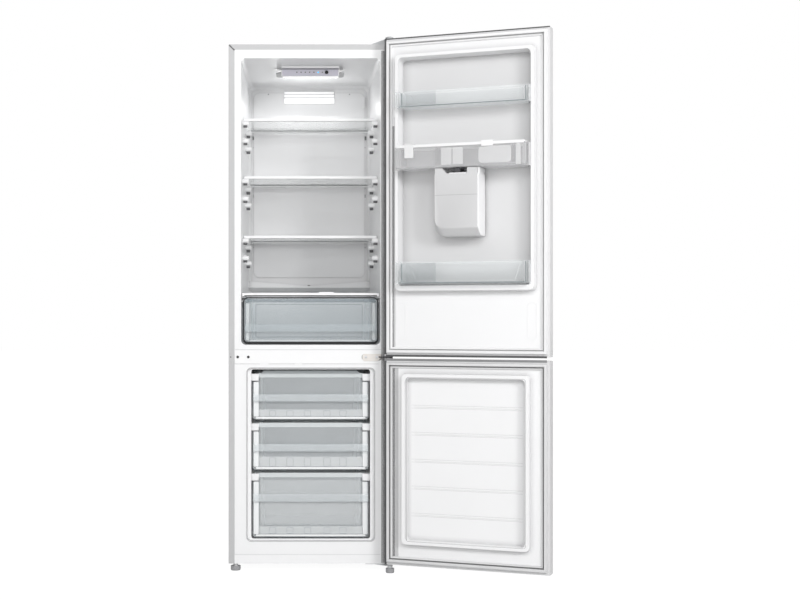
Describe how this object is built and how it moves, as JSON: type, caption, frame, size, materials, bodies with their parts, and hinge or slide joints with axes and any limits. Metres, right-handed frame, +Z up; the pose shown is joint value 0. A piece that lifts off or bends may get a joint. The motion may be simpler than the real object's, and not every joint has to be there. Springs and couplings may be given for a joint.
{
  "type": "bottom freezer refrigerator",
  "caption": "Free-standing bottom freezer refrigerator with doors open: glass shelves, crisper, freezer drawers, door bins and a water tank with dispenser.",
  "frame": {"origin": "on the floor at the centre of the right front foot's pad, which lies on the hinge line of both doors", "axes": "+Z up along the hinge line, +X to the right seen from the front, +Y from the front into the depth of the cabinet"},
  "size_m": [1.0462, 0.7998, 1.779],
  "materials": {
    "shell_paint": "satin",
    "door_paint": "satin",
    "zinc_steel": "zinc plated",
    "hinge_paint": "satin",
    "screw_steel": "zinc plated",
    "white_liner": "satin",
    "foam": "rigid foam",
    "aluminium_plate": "rolled",
    "grey_plastic": "moulded",
    "black_enamel": "satin",
    "black_rubber": "matt",
    "black_plastic": "moulded",
    "pipe_steel": "satin",
    "gasket": "matt",
    "panel_white": "satin",
    "fascia_grey": "satin",
    "light_blue": "clear",
    "shelf_glass": "toughened",
    "shelf_trim": "satin",
    "clear_plastic": "moulded",
    "lid_white": "satin",
    "dark_plastic": "moulded",
    "foot_plastic": "moulded"
  },
  "bodies": {
    "cabinet": {"outer_shell": "shell_paint", "back_panel": "zinc_steel", "base_pan": "shell_paint", "mid_beam": "shell_paint", "fridge_liner": "white_liner", "freezer_liner": "white_liner", "insulation_foam": "foam", "evaporator_plates": "aluminium_plate", "drain_tube": "grey_plastic", "compressor_carrier": "zinc_steel", "compressor": "black_enamel", "compressor_mounts": "black_rubber", "evaporation_tray": "grey_plastic", "terminal_box": "black_plastic", "refrigerant_pipes": "pipe_steel", "top_hinge": "zinc_steel", "top_hinge_cover": "grey_plastic", "middle_hinge": "hinge_paint", "bottom_hinge": "zinc_steel", "hinge_screws": "screw_steel", "control_housing": "panel_white", "control_fascia": "fascia_grey", "indicator_lights": "light_blue", "air_outlet_grille": "panel_white", "crisper_cover": "shelf_glass", "crisper_cover_trim": "panel_white"},
    "right_foot": {"front_foot_right": "foot_plastic"},
    "left_foot": {"front_foot_left": "foot_plastic"},
    "left_roller": {"rear_roller_left": "black_plastic"},
    "right_roller": {"rear_roller_right": "black_plastic"},
    "button": {"control_button": "black_plastic"},
    "crisper": {"crisper_drawer": "clear_plastic", "crisper_outline": "black_rubber"},
    "shelf_upper": {"shelf_glass_upper": "shelf_glass", "shelf_trims_upper": "shelf_trim"},
    "shelf_middle": {"shelf_glass_middle": "shelf_glass", "shelf_trims_middle": "shelf_trim"},
    "shelf_lower": {"shelf_glass_lower": "shelf_glass", "shelf_trims_lower": "shelf_trim"},
    "drawer_upper": {"freezer_drawer_upper": "clear_plastic"},
    "drawer_middle": {"freezer_drawer_middle": "clear_plastic"},
    "drawer_lower": {"freezer_drawer_lower": "clear_plastic"},
    "upper_door": {"upper_door_skin": "door_paint", "upper_door_liner": "white_liner", "upper_door_foam": "foam", "upper_door_caps": "grey_plastic", "upper_door_gasket": "gasket", "dispenser_housing": "white_liner", "dispenser_niche": "grey_plastic"},
    "lower_door": {"lower_door_skin": "door_paint", "lower_door_liner": "white_liner", "lower_door_foam": "foam", "lower_door_caps": "grey_plastic", "lower_door_gasket": "gasket"},
    "bin_upper": {"door_bin_upper": "clear_plastic"},
    "bin_lower": {"door_bin_lower": "clear_plastic"},
    "tank": {"water_tank": "clear_plastic", "dispenser_valve": "dark_plastic"},
    "lid": {"tank_lid": "lid_white"},
    "lever": {"dispenser_lever": "dark_plastic"}
  },
  "joints": [
    {"name": "upper_door_hinge", "type": "hinge", "parent": "cabinet", "child": "upper_door", "pos_m": [0, 0, 1.2], "axis": [0, 0, 1], "range_deg": [-158, 0]},
    {"name": "lower_door_hinge", "type": "hinge", "parent": "cabinet", "child": "lower_door", "pos_m": [0, 0, 0.37], "axis": [0, 0, 1], "range_deg": [-158, 0]},
    {"name": "crisper_slide", "type": "slide", "parent": "cabinet", "child": "crisper", "axis": [0, -1, 0], "range_m": [0, 0.28]},
    {"name": "freezer_drawer_upper_slide", "type": "slide", "parent": "cabinet", "child": "drawer_upper", "axis": [0, -1, 0], "range_m": [0, 0.3]},
    {"name": "freezer_drawer_middle_slide", "type": "slide", "parent": "cabinet", "child": "drawer_middle", "axis": [0, -1, 0], "range_m": [0, 0.3]},
    {"name": "freezer_drawer_lower_slide", "type": "slide", "parent": "cabinet", "child": "drawer_lower", "axis": [0, -1, 0], "range_m": [0, 0.22]},
    {"name": "shelf_upper_slide", "type": "slide", "parent": "cabinet", "child": "shelf_upper", "axis": [0, -1, 0], "range_m": [0, 0.24]},
    {"name": "shelf_middle_slide", "type": "slide", "parent": "cabinet", "child": "shelf_middle", "axis": [0, -1, 0], "range_m": [0, 0.24]},
    {"name": "shelf_lower_slide", "type": "slide", "parent": "cabinet", "child": "shelf_lower", "axis": [0, -1, 0], "range_m": [0, 0.24]},
    {"name": "door_bin_upper_lift", "type": "slide", "parent": "upper_door", "child": "bin_upper", "axis": [0, 0, 1], "range_m": [0, 0.03]},
    {"name": "door_bin_lower_lift", "type": "slide", "parent": "upper_door", "child": "bin_lower", "axis": [0, 0, 1], "range_m": [0, 0.04]},
    {"name": "water_tank_lift", "type": "slide", "parent": "upper_door", "child": "tank", "axis": [0, 0, 1], "range_m": [0, 0.05]},
    {"name": "tank_lid_lift", "type": "slide", "parent": "tank", "child": "lid", "axis": [0, 0, 1], "range_m": [0, 0.02]},
    {"name": "dispenser_lever_hinge", "type": "hinge", "parent": "upper_door", "child": "lever", "pos_m": [0.20763, -0.15615, 1.27], "axis": [-0.9272, 0.3746, 0], "range_deg": [0, 12], "stiffness_Nm_per_rad": 0.02, "springref_deg": -20.05},
    {"name": "control_button_press", "type": "slide", "parent": "cabinet", "child": "button", "axis": [0, 0.96, 0.28], "range_m": [0, 0.0015], "stiffness_N_per_m": 200, "springref_m": -0.001},
    {"name": "right_foot_turn", "type": "hinge", "parent": "cabinet", "child": "right_foot", "pos_m": [0, 0, 0], "axis": [0, 0, 1], "continuous": true},
    {"name": "left_foot_turn", "type": "hinge", "parent": "cabinet", "child": "left_foot", "pos_m": [-0.5146, 0.05, 0], "axis": [0, 0, 1], "continuous": true},
    {"name": "left_roller_spin", "type": "hinge", "parent": "cabinet", "child": "left_roller", "pos_m": [-0.504, 0.49, 0.015], "axis": [1, 0, 0], "continuous": true},
    {"name": "right_roller_spin", "type": "hinge", "parent": "cabinet", "child": "right_roller", "pos_m": [-0.022, 0.49, 0.015], "axis": [1, 0, 0], "continuous": true}
  ]
}
